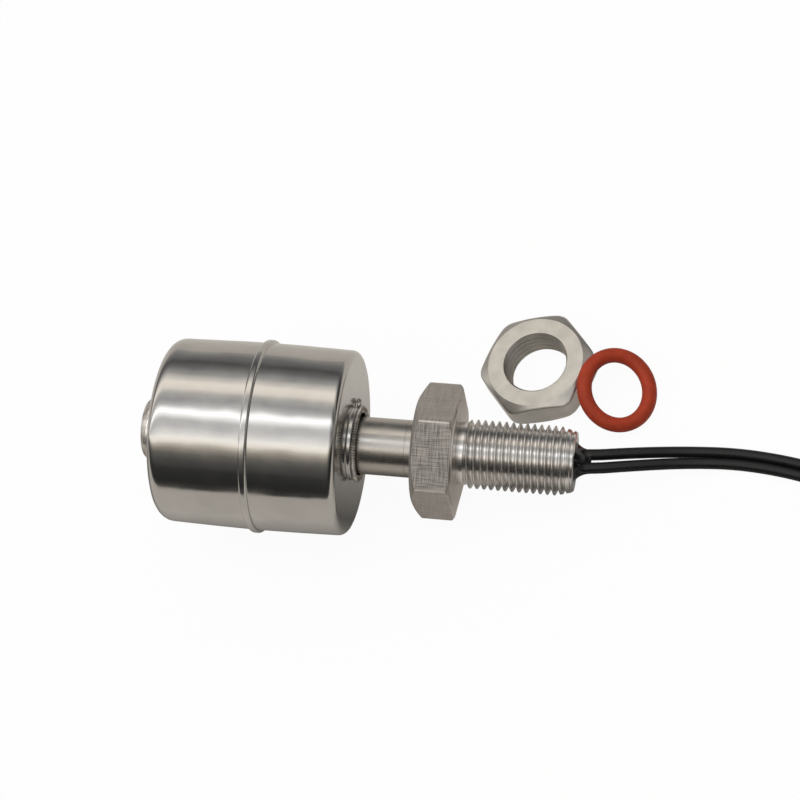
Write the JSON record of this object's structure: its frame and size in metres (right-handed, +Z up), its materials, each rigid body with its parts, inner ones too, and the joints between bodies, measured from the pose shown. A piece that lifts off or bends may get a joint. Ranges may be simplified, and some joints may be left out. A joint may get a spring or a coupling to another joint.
{
  "type": "float level switch",
  "caption": "Liquid level switch: a hollow steel float slides on a closed stem under a hexagon and threaded stud with wire leads; its lock nut and ring seal lie beside it.",
  "frame": {"origin": "middle of the base of the object's box as it lies, measured without its wires", "axes": "+X from the float towards the thread as seen from above, +Y towards the loose lock nut, +Z up"},
  "size_m": [0.118, 0.0388, 0.0306],
  "materials": {
    "polished_steel": "polished",
    "turned_steel": "satin",
    "nut_steel": "satin",
    "weld_steel": "rough",
    "stem_steel": "polished",
    "seal_rubber": "matte",
    "wire_insulation": "satin",
    "potting_resin": "gloss",
    "tinned_copper": "satin",
    "solder": "satin",
    "reed_glass": "clear",
    "reed_metal": "satin",
    "board": "satin",
    "sleeve": "matte",
    "magnet": "matte",
    "spacer": "matte"
  },
  "bodies": {
    "stem": {"bare_end_a": "tinned_copper", "bare_end_b": "tinned_copper", "carrier_board": "board", "core_a": "tinned_copper", "core_b": "tinned_copper", "hex_fitting": "turned_steel", "insulating_sleeve": "sleeve", "lock_nut": "nut_steel", "potting": "potting_resin", "reed_contact_lower": "reed_metal", "reed_contact_upper": "reed_metal", "reed_glass": "reed_glass", "ring_seal": "seal_rubber", "solder_joints": "solder", "stem_end_plug": "stem_steel", "stem_tube": "stem_steel", "stop_ring": "turned_steel", "stop_weld": "weld_steel", "wire_a": "wire_insulation", "wire_b": "wire_insulation", "wire_coil": "wire_insulation"},
    "float": {"cup_hex_side": "polished_steel", "cup_stop_side": "polished_steel", "float_tube": "stem_steel", "rim_weld_hex_side": "weld_steel", "rim_weld_stop_side": "weld_steel", "ring_magnet": "magnet", "spacer_hex_side": "spacer", "spacer_stop_side": "spacer"}
  },
  "joints": [
    {"name": "float_slide", "type": "slide", "parent": "stem", "child": "float", "axis": [0.9817, 0, -0.1905], "range_m": [0, 0.00786]}
  ]
}
